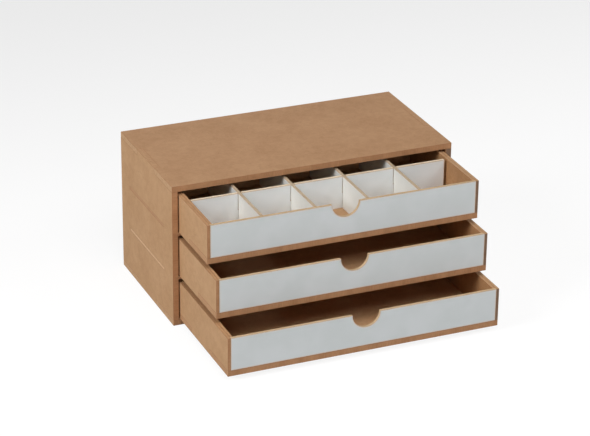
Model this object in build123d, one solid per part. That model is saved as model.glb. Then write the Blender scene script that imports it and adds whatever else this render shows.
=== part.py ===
from build123d import *
import os

# A bench-top organizer of laser-cut fibreboard: an open-fronted case of tabbed boards, and three
# drawers that slide on its base and its two shelves. A loose grid of half-lapped dividers stands
# in the upper drawer.
#
# Lengths are in millimetres. X runs along the width, the front faces -Y and Z rises from the
# table. The origin is the middle of the underside of the case.

# Case
CASE_WIDTH = 300.0
CASE_DEPTH = 150.0
CASE_HEIGHT = 150.0
CASE_BOARD = 6.0          # top, base and sides
CASE_FINGER = 50.0        # length of each side's middle finger, through the top and the base
SHELF_THICKNESS = 3.0
SHELF_TAB = 100.0         # length of the tab at each end of a shelf
BACK_THICKNESS = 3.0

# Drawers
DRAWER_FLOOR = 6.0
DRAWER_WALL = 3.0         # front, back and sides
DRAWER_LINING = 3.0       # second board against the inside of each side
DRAWER_FINGER = 49.0      # length of the finger of a drawer's side, down through its floor
PULL_RADIUS = 14.5        # half-round finger pull in the top edge of each front

# Length of each drawer that is still inside the case
LOWER_TAIL = 16.5
MIDDLE_TAIL = 46.0
UPPER_TAIL = 69.0

# Divider grid of the upper drawer
DIVIDER_THICKNESS = 3.0
COMPARTMENTS = 5          # side by side, in each of the two rows
FRONT_ROW = 56.0          # clear depth of the front row of compartments

# Clearances
JOINT_GAP = 0.1           # laser kerf, in all, along a finger or a tab
LAP_GAP = 0.8             # play, in all, between two dividers in their laps
RUNNING_GAP = 0.2         # under a drawer
DRAWER_SIDE_GAP = 1.25    # at each side of a drawer
DRAWER_HEADROOM = 3.4     # above a drawer
DRAWER_REAR_GAP = 2.0     # behind a drawer that is pushed home
GRID_END_GAP = 0.25       # at the front and the rear end of a cross divider
GRID_LEFT_GAP = 0.25      # at the left end of the long divider
GRID_RIGHT_GAP = 2.75     # at its right end
GRID_SLIP = 3.3           # the cross dividers stand this far to the left of even places

# What follows from them
inner_width = CASE_WIDTH - 2 * CASE_BOARD
inner_height = CASE_HEIGHT - 2 * CASE_BOARD
shelf_depth = CASE_DEPTH - BACK_THICKNESS
case_front = -CASE_DEPTH / 2

levels = ("lower", "middle", "upper")
tails = {"lower": LOWER_TAIL, "middle": MIDDLE_TAIL, "upper": UPPER_TAIL}
bay_height = (inner_height - (len(levels) - 1) * SHELF_THICKNESS) / len(levels)
bay_pitch = bay_height + SHELF_THICKNESS
bay_floors = {level: CASE_BOARD + i * bay_pitch for i, level in enumerate(levels)}
shelf_heights = [bay_floors[level] - SHELF_THICKNESS for level in levels[1:]]

drawer_width = inner_width - 2 * DRAWER_SIDE_GAP
drawer_depth = shelf_depth - DRAWER_REAR_GAP
drawer_height = bay_height - RUNNING_GAP - DRAWER_HEADROOM
wall_height = drawer_height - DRAWER_FLOOR
front_width = drawer_width - 2 * DRAWER_WALL
lined_width = front_width - 2 * DRAWER_LINING
lining_depth = drawer_depth - 2 * DRAWER_WALL

divider_height = wall_height
cross_length = lining_depth - 2 * GRID_END_GAP
long_length = lined_width - GRID_LEFT_GAP - GRID_RIGHT_GAP
long_middle = (GRID_LEFT_GAP - GRID_RIGHT_GAP) / 2
divider_pitch = (lined_width + DIVIDER_THICKNESS) / COMPARTMENTS
lap_width = DIVIDER_THICKNESS + LAP_GAP
lap_height = (divider_height + JOINT_GAP) / 2


def flat_board(outline, underside, thickness):
    """A level board: its outline in X and Y, from its underside up."""
    return extrude(Plane.XY.offset(underside) * outline, thickness)


def cross_board(outline, left_face, thickness):
    """An upright board that runs front to rear: its outline in Y and Z, from its left face."""
    return extrude(Plane.YZ.offset(left_face) * outline, thickness)


def long_board(outline, front_face, thickness):
    """An upright board that runs side to side: its outline in X and Z, from its front face."""
    return extrude(Plane.XZ.offset(-front_face) * outline, -thickness)


def tabbed_ends(width, depth, notch, finger):
    """A rectangle whose two ends are notched for a wall's finger, which leaves four tabs."""
    outline = Rectangle(width, depth)
    for end in (-width / 2, width / 2):
        outline -= Pos(end, 0) * Rectangle(2 * notch, finger + JOINT_GAP)
    return outline


def left_face_of(side, width, thickness):
    """X of the left face of a side board, flush with the outside of a box of this width."""
    return -width / 2 if side == "left" else width / 2 - thickness


# Case

def case_flat(underside):
    """Top or base: its tabs at the four corners lie over or under the sides."""
    outline = tabbed_ends(CASE_WIDTH, CASE_DEPTH, CASE_BOARD, CASE_FINGER)
    return flat_board(outline, underside, CASE_BOARD)


def case_side(side):
    """Side board: a middle finger up and down, and a slot for the tab of each shelf."""
    middle = Pos(0, CASE_HEIGHT / 2)
    outline = middle * Rectangle(CASE_DEPTH, inner_height)
    outline += middle * Rectangle(CASE_FINGER, CASE_HEIGHT)
    slot = Rectangle(SHELF_TAB + JOINT_GAP, SHELF_THICKNESS + JOINT_GAP)
    for height in shelf_heights:
        outline -= Pos(0, height + SHELF_THICKNESS / 2) * slot
    return cross_board(outline, left_face_of(side, CASE_WIDTH, CASE_BOARD), CASE_BOARD)


def shelf(underside):
    """Shelf between the sides and in front of the back, with a tab through each side."""
    outline = Pos(0, -BACK_THICKNESS / 2) * Rectangle(inner_width, shelf_depth)
    outline += Rectangle(CASE_WIDTH, SHELF_TAB)
    return flat_board(outline, underside, SHELF_THICKNESS)


def case_back():
    """Back panel, let in flush between the sides, the top and the base."""
    outline = Pos(0, CASE_HEIGHT / 2) * Rectangle(inner_width, inner_height)
    return long_board(outline, CASE_DEPTH / 2 - BACK_THICKNESS, BACK_THICKNESS)


def case_pieces():
    pieces = {
        "case_base": case_flat(0),
        "case_top": case_flat(CASE_HEIGHT - CASE_BOARD),
        "case_side_left": case_side("left"),
        "case_side_right": case_side("right"),
        "case_back": case_back(),
    }
    for name, height in zip(("shelf_lower", "shelf_upper"), shelf_heights):
        pieces[name] = shelf(height)
    return pieces


# Drawer, with its front face at Y = 0 and its underside at Z = 0

def drawer_floor():
    """Floor as wide as the drawer: its edge shows below the front, its tabs below the sides."""
    outline = tabbed_ends(drawer_width, drawer_depth, DRAWER_WALL, DRAWER_FINGER)
    return flat_board(Pos(0, drawer_depth / 2) * outline, 0, DRAWER_FLOOR)


def drawer_side(side):
    """Side wall of the whole depth, on the floor's tabs, with a finger down between them."""
    middle = drawer_depth / 2
    outline = Pos(middle, DRAWER_FLOOR + wall_height / 2) * Rectangle(drawer_depth, wall_height)
    outline += Pos(middle, drawer_height / 2) * Rectangle(DRAWER_FINGER, drawer_height)
    return cross_board(outline, left_face_of(side, drawer_width, DRAWER_WALL), DRAWER_WALL)


def drawer_lining(side):
    """Board against the inside of a side wall, on the floor, between the front and the back."""
    outline = Pos(drawer_depth / 2, DRAWER_FLOOR + wall_height / 2) * Rectangle(lining_depth, wall_height)
    return cross_board(outline, left_face_of(side, front_width, DRAWER_LINING), DRAWER_LINING)


def drawer_end(front_face, pulled):
    """Front or back wall, on the floor between the sides; a front has the finger pull."""
    outline = Pos(0, DRAWER_FLOOR + wall_height / 2) * Rectangle(front_width, wall_height)
    if pulled:
        outline -= Pos(0, drawer_height) * Circle(PULL_RADIUS)
    return long_board(outline, front_face, DRAWER_WALL)


def drawer_pieces():
    return {
        "floor": drawer_floor(),
        "side_left": drawer_side("left"),
        "side_right": drawer_side("right"),
        "lining_left": drawer_lining("left"),
        "lining_right": drawer_lining("right"),
        "front": drawer_end(0, pulled=True),
        "back": drawer_end(drawer_depth - DRAWER_WALL, pulled=False),
    }


# Divider grid, in the drawer's frame

def divider_places():
    """X of the middle of each cross divider."""
    return [(i - COMPARTMENTS / 2) * divider_pitch - GRID_SLIP for i in range(1, COMPARTMENTS)]


def long_divider():
    """Divider from side to side, with a lap cut from its top for each cross divider."""
    outline = Pos(long_middle, DRAWER_FLOOR + divider_height / 2) * Rectangle(long_length, divider_height)
    for x in divider_places():
        outline -= Pos(x, drawer_height) * Rectangle(lap_width, 2 * lap_height)
    return long_board(outline, DRAWER_WALL + FRONT_ROW, DIVIDER_THICKNESS)


def cross_divider(x):
    """Divider from the front to the back, with a lap cut from its underside."""
    middle = drawer_depth / 2
    lap_middle = DRAWER_WALL + FRONT_ROW + DIVIDER_THICKNESS / 2
    outline = Pos(middle, DRAWER_FLOOR + divider_height / 2) * Rectangle(cross_length, divider_height)
    outline -= Pos(lap_middle, DRAWER_FLOOR) * Rectangle(lap_width, 2 * lap_height)
    return cross_board(outline, x - DIVIDER_THICKNESS / 2, DIVIDER_THICKNESS)


def grid_pieces():
    pieces = {"divider_long": long_divider()}
    for i, x in enumerate(divider_places(), start=1):
        pieces[f"divider_cross_{i}"] = cross_divider(x)
    return pieces


# The whole, with each drawer as far out of its bay as its tail leaves it

def drawer_place(level):
    return Pos(0, case_front + tails[level] - drawer_depth, bay_floors[level] + RUNNING_GAP)


def all_pieces():
    pieces = case_pieces()
    for level in levels:
        for name, piece in drawer_pieces().items():
            pieces[f"drawer_{level}_{name}"] = drawer_place(level) * piece
    for name, piece in grid_pieces().items():
        pieces[name] = drawer_place("upper") * piece
    return pieces


os.makedirs("parts", exist_ok=True)
for node, piece in all_pieces().items():
    export_step(piece, f"parts/{node}.step")
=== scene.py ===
"""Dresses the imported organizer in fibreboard, cut edges and white faces, on a pale studio floor."""

import math

import bpy
from mathutils import Matrix, Vector


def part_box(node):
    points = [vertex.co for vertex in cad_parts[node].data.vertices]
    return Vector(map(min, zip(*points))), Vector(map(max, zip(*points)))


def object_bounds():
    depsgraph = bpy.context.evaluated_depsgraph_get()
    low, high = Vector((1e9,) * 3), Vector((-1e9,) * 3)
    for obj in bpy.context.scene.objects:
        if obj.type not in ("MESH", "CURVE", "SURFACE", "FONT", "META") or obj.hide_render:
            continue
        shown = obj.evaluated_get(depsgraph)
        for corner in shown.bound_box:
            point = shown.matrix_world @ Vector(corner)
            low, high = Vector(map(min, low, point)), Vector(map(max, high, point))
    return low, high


MM = 0.001
X, Y, Z = range(3)

# Camera: its place in metres, its angles in degrees, and its lens for a picture 590 pixels wide
CAMERA_PLACE = (-0.8580, -2.0320, 1.0761)
CAMERA_YAW = 23.164       # from +Y towards +X
CAMERA_PITCH = -24.735
CAMERA_ROLL = 0.617
FOCAL_PIXELS = 2364.2
PICTURE_WIDTH = 590
SENSOR_WIDTH = 36.0

# Lamps: the level of each, its direction from the object and its size. At a level of 1, a face
# turned to the lamp shows its colour as written.
LAMPS = {
    "key": (0.66, (-0.83, -0.15, 0.54), 1.0),
    "front_light": (0.42, (-0.05, -0.61, 0.79), 1.4),
    "low_light": (0.055, (-0.20, -0.92, 0.33), 0.8),
    "right_light": (0.22, (0.59, -0.49, 0.64), 1.0),
    "back_light": (0.09, (0.15, 0.93, 0.33), 1.6),
}
LAMP_DISTANCE = 2.6
AMBIENT_LEVEL = 0.02
AMBIENT_COLOUR = (1.0, 0.98, 0.96)

# Floor and backdrop
FLOOR_SIZE = 30.0
FLOOR_DROP = 0.1 * MM
FLOOR_ALBEDO = 0.42       # what the floor sends back to the object
SHADOW_SHARE = 0.16       # albedo of the floor that the eye sees, which is mostly plain glow
FLOOR_NEAR_Y = -0.15      # where the floor is white, and where it has faded to pale grey
FLOOR_FAR_Y = 1.1
FLOOR_NEAR_GLOW = 0.88
FLOOR_FAR_GLOW = 0.72
BACKDROP_GREY = 0.86

# Broken edges of the boards
EDGE_BREAK = 0.22 * MM    # radius left on a cut edge
EDGE_SEGMENTS = 2
WELD_DISTANCE = 0.001 * MM
FLAT_ANGLE = 0.5          # degrees
SHARP_ANGLE = 40.0

# Grain of the boards: sizes in millimetres, angles in degrees. A span is the stretch of a noise's
# values in which a mark fades in, and a share is the most that the mark counts for.
FACING = (0.55, 0.85)     # how far a normal leans to an axis where the surface turns to face it
NOISE_SPAN = (0.3, 0.7)   # where most of a noise's values lie
SEED_STEPS = (37.1, 53.7, 91.3)    # from one board's place in the grain to the next one's
CLOUD_SIZE = 38.0         # broad drifts of tone on a sanded face
CLOUD_SHARE = 0.45
MOTTLE_SIZE = 7.0
MOTTLE_SHARE = 0.55
FIBRE_WIDTH = 0.4
FIBRE_LENGTH = 3.0
FIBRE_ANGLES = (20.0, 80.0, 140.0)
FIBRE_BEND = 0.35
FIBRE_SPAN = (0.55, 0.75)
FIBRE_SHARE = 0.22        # how far the palest fibres cover a sanded face
SPLINTERS = ((50.0, 0.55, 1.7), (110.0, 0.4, 1.3), (165.0, 0.7, 1.5))    # angle, width, length
SPLINTER_BEND = 0.9
SPLINTER_SPAN = (0.30, 0.24)
SPLINTER_SHARE = 0.55
CLUSTER_SIZE = 8.0        # clusters that the splinters lie in
CLUSTER_SPAN = (0.46, 0.60)
SMUDGE_SIZE = 4.5
SMUDGE_SPAN = (0.33, 0.24)
SMUDGE_SHARE = 0.30
RIB_SIZE = 0.5            # ribs that the laser leaves across a cut edge
RIB_DRAW = 0.08           # how little they change through the thickness
RIB_SHARE = 0.5
BURN_SIZE = 11.0          # drifts of browning along a cut edge
BURN_DRAW = 0.3
BURN_SHARE = 0.5
CHAR_DEPTH = 0.8          # browner skin at both rims of a cut edge
CHAR_SHARE = 0.30
END_MOTTLE_SIZE = 2.5     # mottle and fibres on a tab's sanded end
END_FIBRE_SPAN = (0.5, 0.75)
END_FIBRE_SHARE = 0.25
SCORCH_SIZE = 5.0         # scorched stretches of an arris
SCORCH_SPAN = (0.35, 0.65)
ARRIS_MOTTLE_SIZE = 1.2

# White laminate, in millimetres
LAMINATE = 0.25           # thickness
LAMINATE_FADE = 0.1       # share of it in which it gives way to the core
SHEET_SIZE = 30.0         # faint drifts of tone
PEEL_SIZE = 0.7           # faint orange peel
PEEL_RELIEF = 0.25
HALO = 1.3                # width of the cream rim that the cut leaves
HALO_SHARE = 0.8
RAGGED_SIZE = 1.6         # wander of that rim
EDGE_COVER = 0.75         # how far the laminate hides its own cut edge
PULL_RADIUS = 14.5        # finger pull of a front

# Gloss and relief
BARE_ROUGHNESS = (0.62, 0.76)
WHITE_ROUGHNESS = (0.40, 0.46)
ARRIS_ROUGHNESS = 0.75
SPECULAR = 0.35
RELIEF = 0.06 * MM

# Colours, as they show on a screen, each with its light and its dark tone
FACE = ((197, 156, 116), (182, 140, 99))          # sanded faces
TOP_FACE = ((181, 140, 103), (166, 124, 87))      # of the case's top
WALL_FACE = ((200, 159, 119), (185, 143, 102))    # of the drawers' sides
SHADED_LINING_FACE = ((174, 131, 90), (160, 117, 77))       # of the linings on the right, darkened as painted shade
EDGE = ((194, 145, 105), (169, 121, 83))          # cut edges
UPPER_EDGE = ((190, 147, 107), (165, 123, 85))    # that face up
SHADED_RIGHT_EDGE = ((140, 112, 90), (120, 94, 74))        # of the boards on the right, darkened as painted shade
HIGHLIT_RIGHT_UPPER_EDGE = ((194, 156, 118), (168, 130, 92))     # of those boards, that face up, paled as a painted highlight
SANDED = ((200, 161, 123), (184, 144, 105))       # tab ends, flush with a face
PALE_END = ((220, 182, 144), (204, 165, 126))     # of the lower shelf
LONG_CORE = ((244, 227, 201), (224, 204, 174))    # edges of the white boards
CROSS_CORE = ((193, 174, 149), (177, 157, 128))
FRONT_CORE = ((208, 180, 144), (188, 158, 120))
LONG_WHITE = ((234, 239, 240), (229, 234, 235))   # faces of the white boards
CROSS_WHITE = ((231, 232, 228), (226, 227, 222))
FRONT_WHITE = ((226, 230, 231), (220, 225, 225))

# Colours of one tone
FLECK = (128, 90, 58)
PALE_FIBRE = (214, 178, 138)
BURNT = (122, 78, 48)
STAIN = (230, 204, 178)

# Arrises, by the kind of board: their tones, and the least and the most that they are scorched
ARRISES = {
    "board": (EDGE, 0.12, 0.45),
    "core": (FRONT_CORE, 0.15, 0.50),
    "tab": (SANDED, 0.0, 0.20),
}


def linear(colour):
    """A screen colour, 0 to 255, as the linear colour that a shader takes."""
    shares = [c / 255 for c in colour]
    return tuple(s / 12.92 if s <= 0.04045 else ((s + 0.055) / 1.055) ** 2.4 for s in shares) + (1.0,)


def grey(level):
    return (level, level, level, 1.0)


class Graph:
    """The nodes of a material or a world. A method that adds nodes returns the last one's output."""

    def __init__(self, owner):
        self.owner = owner
        owner.use_nodes = True
        self.tree = owner.node_tree
        self.shader = self.tree.nodes.get("Principled BSDF")

    def node(self, kind, **settings):
        made = self.tree.nodes.new(kind)
        for name, value in settings.items():
            setattr(made, name, value)
        return made

    def put(self, socket, value):
        """Links another node's output to the socket, or sets the socket to a plain value."""
        if isinstance(value, bpy.types.NodeSocket):
            self.tree.links.new(value, socket)
        else:
            socket.default_value = value

    def fill(self, made, values):
        """Puts values in a node's sockets, by their names or numbers."""
        for key, value in values.items():
            self.put(made.inputs[key], value)

    def math(self, operation, *values):
        made = self.node("ShaderNodeMath", operation=operation)
        self.fill(made, dict(enumerate(values)))
        return made.outputs[0]

    def extreme(self, operation, values):
        """The least or the greatest of several values: MINIMUM or MAXIMUM."""
        found, *others = values
        for value in others:
            found = self.math(operation, found, value)
        return found

    def vector(self, operation, *values):
        made = self.node("ShaderNodeVectorMath", operation=operation)
        self.fill(made, dict(enumerate(values)))
        return made.outputs["Vector"]

    def split(self, vector):
        made = self.node("ShaderNodeSeparateXYZ")
        self.put(made.inputs[0], vector)
        return made.outputs

    def object_place(self):
        """The place on the object, in metres."""
        return self.node("ShaderNodeTexCoord").outputs["Object"]

    def millimetres(self):
        """The place on the object, in millimetres."""
        return self.vector("MULTIPLY", self.object_place(), (1 / MM, 1 / MM, 1 / MM))

    def ramp(self, value, low, high, to_low=0.0, to_high=1.0):
        """Value, eased from low and high to two other values, and held there beyond them."""
        made = self.node("ShaderNodeMapRange", interpolation_type="SMOOTHSTEP")
        self.fill(made, {"Value": value, "From Min": low, "From Max": high,
                         "To Min": to_low, "To Max": to_high})
        return made.outputs["Result"]

    def spread(self, noise, to_low=0.0, to_high=1.0):
        """Noise, eased over the span where most of its values lie."""
        return self.ramp(noise, *NOISE_SPAN, to_low, to_high)

    def mix(self, share, first, second):
        """Between two linear colours."""
        made = self.node("ShaderNodeMix", data_type="RGBA")
        self.fill(made, {"Factor": share, 6: first, 7: second})
        return made.outputs[2]

    def tone(self, share, tones):
        """Between the dark and the light of a pair of screen colours."""
        light, dark = tones
        return self.mix(share, linear(dark), linear(light))

    def blend(self, share, first, second):
        """Between two numbers."""
        left = self.math("MULTIPLY", first, self.math("SUBTRACT", 1.0, share))
        return self.math("ADD", left, self.math("MULTIPLY", second, share))

    def noise(self, place, size, detail=2.0, roughness=0.5, distortion=0.0):
        """Noise of about the given grain size, in the units of the place."""
        made = self.node("ShaderNodeTexNoise")
        self.fill(made, {"Vector": place, "Scale": 1 / size, "Detail": detail,
                         "Roughness": roughness, "Distortion": distortion})
        return made.outputs["Fac"]

    def bump(self, height, distance):
        """A normal from a height of 0 to 1, that stands for the given distance."""
        made = self.node("ShaderNodeBump")
        self.fill(made, {"Height": height, "Distance": distance, "Strength": 1.0})
        return made.outputs["Normal"]

    def surface(self, colour, roughness, height):
        """Sets the shader's colour, roughness and relief."""
        self.fill(self.shader, {"Base Color": colour, "Roughness": roughness,
                                "Normal": self.bump(height, RELIEF), "Specular IOR Level": SPECULAR})


class Board:
    """Places on one board, in millimetres: its thin axis, its faces and its outline's box."""

    def __init__(self, graph, node, seed):
        low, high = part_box(node)
        self.low = [v / MM for v in low]
        self.high = [v / MM for v in high]
        sizes = [far - near for near, far in zip(self.low, self.high)]
        self.axis = sizes.index(min(sizes))
        self.graph = graph
        place = graph.millimetres()
        self.shares = graph.split(place)
        shift = tuple(seed * step for step in SEED_STEPS)
        self.grain = graph.vector("ADD", place, shift)
        normal = graph.node("ShaderNodeNewGeometry").outputs["Normal"]
        self.leans = [graph.math("ABSOLUTE", share) for share in graph.split(normal)]

    def facing(self, axis):
        """1 where the surface faces along the axis."""
        return self.graph.ramp(self.leans[axis], *FACING)

    def from_low(self, axis):
        """Distance in from the low side of the board's box."""
        return self.graph.math("SUBTRACT", self.shares[axis], self.low[axis])

    def from_high(self, axis):
        """Distance in from the high side of the board's box."""
        return self.graph.math("SUBTRACT", self.high[axis], self.shares[axis])

    def depth(self):
        """Distance in from the nearer broad face."""
        return self.graph.math("MINIMUM", self.from_low(self.axis), self.from_high(self.axis))

    def rim(self):
        """Distance in from the nearest side of the outline's box."""
        distances = []
        for axis in (X, Y, Z):
            if axis != self.axis:
                distances += [self.from_low(axis), self.from_high(axis)]
        return self.graph.extreme("MINIMUM", distances)

    def pull_rim(self):
        """Distance out from the round finger pull in the middle of the top edge."""
        g = self.graph
        drop = g.math("SUBTRACT", self.shares[Z], self.high[Z])
        square = g.math("ADD", g.math("POWER", self.shares[X], 2.0), g.math("POWER", drop, 2.0))
        return g.math("SUBTRACT", g.math("SQRT", square), PULL_RADIUS)

    def drawn(self, share):
        """The grain's place with the thin axis scaled, for marks that run through the thickness."""
        scale = [1.0, 1.0, 1.0]
        scale[self.axis] = share
        return self.graph.vector("MULTIPLY", self.grain, tuple(scale))

    def strands(self, width, length, angle, bend):
        """Noise drawn out along one direction in the plane of the board."""
        g = self.graph
        spin = [0.0, 0.0, 0.0]
        spin[self.axis] = math.radians(angle)
        turned = g.node("ShaderNodeVectorRotate", rotation_type="EULER_XYZ")
        g.fill(turned, {"Vector": self.grain, "Rotation": tuple(spin)})
        stretch = [1 / width] * 3
        stretch[(self.axis + 1) % 3] = 1 / length
        place = g.vector("MULTIPLY", turned.outputs["Vector"], tuple(stretch))
        return g.noise(place, 1.0, detail=1.0, distortion=bend)


# Surfaces: each gives its colour, and some also the height of their relief

def felt(graph, board):
    """Short crossed fibres, as they show on a sanded face."""
    strands = [board.strands(FIBRE_WIDTH, FIBRE_LENGTH, angle, FIBRE_BEND) for angle in FIBRE_ANGLES]
    return graph.extreme("MAXIMUM", strands)


def flecks(graph, board):
    """Sparse dark splinters of bark, in clusters, and a few soft smudges."""
    clusters = graph.ramp(graph.noise(board.grain, CLUSTER_SIZE), *CLUSTER_SPAN)
    splinters = []
    for angle, width, length in SPLINTERS:
        strand = board.strands(width, length, angle, SPLINTER_BEND)
        splinters.append(graph.ramp(strand, *SPLINTER_SPAN))
    marks = graph.math("MULTIPLY", graph.extreme("MAXIMUM", splinters), clusters)
    marks = graph.math("MULTIPLY", marks, SPLINTER_SHARE)
    smudge = graph.noise(board.grain, SMUDGE_SIZE, detail=3.0, roughness=0.55, distortion=0.8)
    return graph.math("MAXIMUM", marks, graph.ramp(smudge, *SMUDGE_SPAN, 0.0, SMUDGE_SHARE))


def bare_face(graph, board, tones):
    """Colour and height of a bare sanded face."""
    cloud = graph.spread(graph.noise(board.grain, CLOUD_SIZE), 0.0, CLOUD_SHARE)
    mottle = graph.noise(board.grain, MOTTLE_SIZE, detail=4.0, roughness=0.6, distortion=0.6)
    fibre = felt(graph, board)
    colour = graph.tone(graph.math("ADD", cloud, graph.spread(mottle, 0.0, MOTTLE_SHARE)), tones)
    colour = graph.mix(graph.ramp(fibre, *FIBRE_SPAN, 0.0, FIBRE_SHARE), colour, linear(PALE_FIBRE))
    return graph.mix(flecks(graph, board), colour, linear(FLECK)), fibre


def cut_edge(graph, board, tones, upper_tones):
    """Colour and height of a cut edge: ribbed through the thickness and browned by the laser."""
    ribs = graph.noise(board.drawn(RIB_DRAW), RIB_SIZE, roughness=0.6)
    burn = graph.noise(board.drawn(BURN_DRAW), BURN_SIZE, detail=3.0)
    share = graph.math("ADD", graph.spread(ribs, 0.0, RIB_SHARE), graph.spread(burn, 0.0, BURN_SHARE))
    char = graph.ramp(board.depth(), CHAR_DEPTH, 0.0, 0.0, CHAR_SHARE)
    colour = graph.mix(board.facing(Z), graph.tone(share, tones), graph.tone(share, upper_tones))
    return graph.mix(char, colour, linear(BURNT)), ribs


def sanded_end(graph, board, fibre, tones):
    """Colour of a tab's end, sanded flush with the face that it comes through."""
    mottle = graph.noise(board.grain, END_MOTTLE_SIZE, detail=3.0)
    colour = graph.tone(graph.spread(mottle), tones)
    pale = graph.ramp(fibre, *END_FIBRE_SPAN, 0.0, END_FIBRE_SHARE)
    return graph.mix(pale, colour, linear(PALE_FIBRE))


def white_face(graph, board, tones, rim):
    """Colour and height of a white laminate, browned at its cut rim."""
    sheet = graph.tone(graph.spread(graph.noise(board.grain, SHEET_SIZE)), tones)
    peel = graph.noise(board.grain, PEEL_SIZE, detail=1.0)
    ragged = graph.math("MULTIPLY", graph.noise(board.grain, RAGGED_SIZE), HALO)
    stain = graph.ramp(graph.math("SUBTRACT", rim, ragged), HALO, -HALO, 0.0, HALO_SHARE)
    return graph.mix(stain, sheet, linear(STAIN)), peel


# Which board has which tones

def is_front(node):
    return node.endswith("_front")


def is_white(node):
    return is_front(node) or node.startswith("divider")


def face_tones(node):
    """Tones of a bare board's faces."""
    if node == "case_top":
        return TOP_FACE
    # The linings on the right get faces darkened as painted shade.
    if node.endswith("lining_right"):
        return SHADED_LINING_FACE
    return WALL_FACE if node.startswith("drawer") and "side" in node else FACE


def edge_tones(node):
    """Tones of a bare board's cut edges, and of those that face up."""
    # Boards on the right get cut edges darkened as painted shade.
    if node.endswith("_right"):
        # Their edges that face up are paled as a painted highlight.
        return SHADED_RIGHT_EDGE, HIGHLIT_RIGHT_UPPER_EDGE
    return EDGE, UPPER_EDGE


def white_tones(node):
    """Tones of a white board's faces, and of its core."""
    if is_front(node):
        return FRONT_WHITE, FRONT_CORE
    if node.startswith("divider_cross"):
        return CROSS_WHITE, CROSS_CORE
    return LONG_WHITE, LONG_CORE


def flush_ends(node):
    """Axis that a board's flush tab ends face, their tones, and how far they are sanded back."""
    if node.startswith("case_side"):
        return Z, TOP_FACE, 0.9
    if node in ("case_top", "case_base"):
        return X, SANDED, 1.0
    if node == "shelf_lower":
        return X, PALE_END, 1.0
    if node == "shelf_upper":
        return X, SANDED, 0.3
    if node.endswith("_floor"):
        return X, SANDED, 0.4
    return X, SANDED, 0.0


def arris_kind(node):
    if is_white(node):
        return "core"
    return "tab" if node.startswith("shelf") else "board"


# Materials

def finish_bare(graph, board, node):
    """A bare board: sanded faces, browned edges, and tab ends sanded flush."""
    face = board.facing(board.axis)
    bare, fibre = bare_face(graph, board, face_tones(node))
    edge, ribs = cut_edge(graph, board, *edge_tones(node))
    axis, end_tones, sanded = flush_ends(node)
    if sanded:
        share = graph.math("MULTIPLY", board.facing(axis), sanded)
        edge = graph.mix(share, edge, sanded_end(graph, board, fibre, end_tones))
        ribs = graph.blend(share, ribs, fibre)
    roughness = graph.spread(fibre, *BARE_ROUGHNESS)
    graph.surface(graph.mix(face, edge, bare), roughness, graph.blend(face, ribs, fibre))


def finish_white(graph, board, node):
    """A board with a white laminate over a pale core: a divider on both faces, a front outside."""
    face = board.facing(board.axis)
    bare, fibre = bare_face(graph, board, FACE)
    white, core = white_tones(node)
    edge, ribs = cut_edge(graph, board, core, core)
    rim = board.rim()
    if is_front(node):
        rim = graph.math("MINIMUM", rim, board.pull_rim())
        depth = board.from_low(board.axis)
    else:
        depth = board.depth()
    sheet, peel = white_face(graph, board, white, rim)
    layer = graph.ramp(depth, LAMINATE * (1 + LAMINATE_FADE), LAMINATE * (1 - LAMINATE_FADE))
    cover = graph.math("MULTIPLY", layer, graph.ramp(face, 0.0, 1.0, EDGE_COVER, 1.0))
    under = graph.blend(face, ribs, fibre)
    height = graph.blend(layer, under, graph.math("MULTIPLY", peel, PEEL_RELIEF))
    bare_roughness = graph.spread(fibre, *BARE_ROUGHNESS)
    roughness = graph.blend(layer, bare_roughness, graph.spread(peel, *WHITE_ROUGHNESS))
    graph.surface(graph.mix(cover, graph.mix(face, edge, bare), sheet), roughness, height)


def arris_material(name, tones, least, most):
    """The broken corner between a face and a cut edge, scorched between these shares."""
    graph = Graph(bpy.data.materials.new(name))
    place = graph.millimetres()
    scorch = graph.noise(place, SCORCH_SIZE, detail=4.0, roughness=0.65)
    scorch = graph.ramp(scorch, *SCORCH_SPAN, least, most)
    colour = graph.tone(graph.noise(place, ARRIS_MOTTLE_SIZE), tones)
    graph.fill(graph.shader, {"Base Color": graph.mix(scorch, colour, linear(BURNT)),
                              "Roughness": ARRIS_ROUGHNESS, "Specular IOR Level": SPECULAR})
    return graph.owner


def dress(node, piece, seed, arrises):
    """Gives a board its own finish, and its corners that of its kind."""
    graph = Graph(bpy.data.materials.new(node + "_finish"))
    board = Board(graph, node, seed)
    if is_white(node):
        finish_white(graph, board, node)
    else:
        finish_bare(graph, board, node)
    piece.data.materials.clear()
    piece.data.materials.append(graph.owner)
    piece.data.materials.append(arrises[arris_kind(node)])


def break_edges(piece):
    """Joins the mesh's faces, then rounds its sharp edges a little."""
    weld = piece.modifiers.new("weld", "WELD")
    weld.merge_threshold = WELD_DISTANCE
    flat = piece.modifiers.new("flat", "DECIMATE")
    flat.decimate_type = "DISSOLVE"
    flat.angle_limit = math.radians(FLAT_ANGLE)
    bevel = piece.modifiers.new("edge_break", "BEVEL")
    bevel.width = EDGE_BREAK
    bevel.segments = EDGE_SEGMENTS
    bevel.limit_method = "ANGLE"
    bevel.angle_limit = math.radians(SHARP_ANGLE)
    bevel.harden_normals = True
    bevel.material = 1


# Studio

def camera_or_mirror(graph):
    """1 where the eye, a reflection or a clear material looks."""
    path = graph.node("ShaderNodeLightPath").outputs
    rays = [path["Is Camera Ray"], path["Is Glossy Ray"], path["Is Transmission Ray"]]
    return graph.extreme("MAXIMUM", rays)


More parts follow.
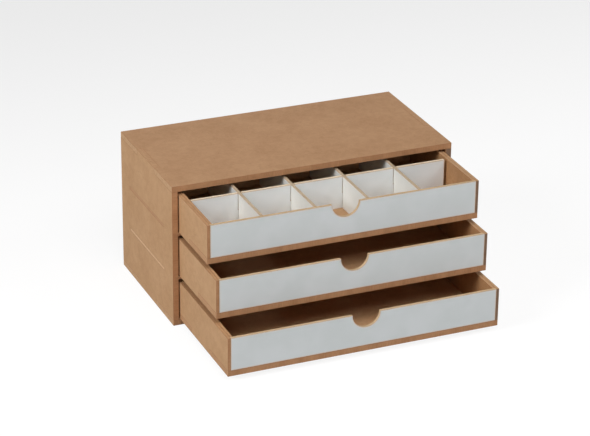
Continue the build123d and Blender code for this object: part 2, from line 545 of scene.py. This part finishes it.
def make_floor():
    """A pale floor that fades from white to light grey, and keeps the object's shadow."""
    half = FLOOR_SIZE / 2
    corners = [(-half, -half, 0), (half, -half, 0), (half, half, 0), (-half, half, 0)]
    mesh = bpy.data.meshes.new("floor")
    mesh.from_pydata(corners, [], [(0, 1, 2, 3)])
    floor = bpy.data.objects.new("floor", mesh)
    floor.location.z = -FLOOR_DROP
    bpy.context.scene.collection.objects.link(floor)

    graph = Graph(bpy.data.materials.new("floor"))
    graph.tree.nodes.remove(graph.shader)
    lit = graph.node("ShaderNodeBsdfDiffuse")
    graph.put(lit.inputs["Color"], grey(FLOOR_ALBEDO))
    seen = graph.node("ShaderNodeBsdfDiffuse")
    graph.put(seen.inputs["Color"], grey(SHADOW_SHARE))
    glow = graph.node("ShaderNodeEmission")
    along = graph.split(graph.object_place())[Y]
    strength = graph.ramp(along, FLOOR_NEAR_Y, FLOOR_FAR_Y, FLOOR_NEAR_GLOW, FLOOR_FAR_GLOW)
    graph.put(glow.inputs["Strength"], strength)
    both = graph.node("ShaderNodeAddShader")
    graph.fill(both, {0: seen.outputs[0], 1: glow.outputs[0]})
    choice = graph.node("ShaderNodeMixShader")
    graph.fill(choice, {0: camera_or_mirror(graph), 1: lit.outputs[0], 2: both.outputs[0]})
    graph.put(graph.tree.nodes["Material Output"].inputs["Surface"], choice.outputs[0])
    mesh.materials.append(graph.owner)


def make_world():
    """Soft light from all round, and a pale backdrop where the eye meets no floor."""
    world = bpy.data.worlds.new("studio")
    bpy.context.scene.world = world
    graph = Graph(world)
    ambient = graph.tree.nodes["Background"]
    graph.fill(ambient, {"Color": (*AMBIENT_COLOUR, 1.0), "Strength": AMBIENT_LEVEL})
    backdrop = graph.node("ShaderNodeBackground")
    graph.put(backdrop.inputs["Color"], grey(BACKDROP_GREY))
    choice = graph.node("ShaderNodeMixShader")
    graph.fill(choice, {0: camera_or_mirror(graph), 1: ambient.outputs[0], 2: backdrop.outputs[0]})
    graph.put(graph.tree.nodes["World Output"].inputs["Surface"], choice.outputs[0])


def make_lamp(name, target, level, direction, size):
    """A square soft box in the given direction from the target, which gets the lamp's level.

    A lamp of pi squared times its distance squared, in watts, has a level of 1.
    """
    data = bpy.data.lights.new(name, "AREA")
    data.shape = "SQUARE"
    data.size = size
    data.energy = level * math.pi ** 2 * LAMP_DISTANCE ** 2
    lamp = bpy.data.objects.new(name, data)
    toward = Vector(direction).normalized()
    lamp.location = target + toward * LAMP_DISTANCE
    lamp.rotation_mode = "QUATERNION"
    lamp.rotation_quaternion = toward.to_track_quat("Z", "Y")
    bpy.context.scene.collection.objects.link(lamp)


def make_camera():
    """The photograph's camera: turned from +Y towards +X, tipped down and rolled a little."""
    data = bpy.data.cameras.new("camera")
    data.sensor_fit = "HORIZONTAL"
    data.sensor_width = SENSOR_WIDTH
    data.lens = FOCAL_PIXELS / PICTURE_WIDTH * SENSOR_WIDTH
    data.clip_end = FLOOR_SIZE
    camera = bpy.data.objects.new("camera", data)
    turn = Matrix.Rotation(-math.radians(CAMERA_YAW), 4, "Z")
    tip = Matrix.Rotation(math.radians(90 + CAMERA_PITCH), 4, "X")
    roll = Matrix.Rotation(math.radians(CAMERA_ROLL), 4, "Z")
    camera.matrix_world = Matrix.Translation(CAMERA_PLACE) @ turn @ tip @ roll
    bpy.context.scene.collection.objects.link(camera)
    bpy.context.scene.camera = camera


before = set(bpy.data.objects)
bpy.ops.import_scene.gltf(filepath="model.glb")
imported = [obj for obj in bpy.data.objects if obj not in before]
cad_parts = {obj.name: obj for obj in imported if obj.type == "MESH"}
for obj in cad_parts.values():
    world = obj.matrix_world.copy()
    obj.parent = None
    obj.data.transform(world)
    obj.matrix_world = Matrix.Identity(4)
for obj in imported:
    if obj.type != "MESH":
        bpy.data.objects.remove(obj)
cad_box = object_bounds()
bpy.context.scene.view_settings.view_transform = "Standard"

arrises = {kind: arris_material(kind + "_arris", *look) for kind, look in ARRISES.items()}
for seed, (name, part) in enumerate(sorted(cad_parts.items()), start=1):
    dress(name, part, seed, arrises)
    break_edges(part)

middle = (cad_box[0] + cad_box[1]) / 2
make_floor()
make_world()
for name, (level, direction, size) in LAMPS.items():
    make_lamp(name, middle, level, direction, size)
make_camera()
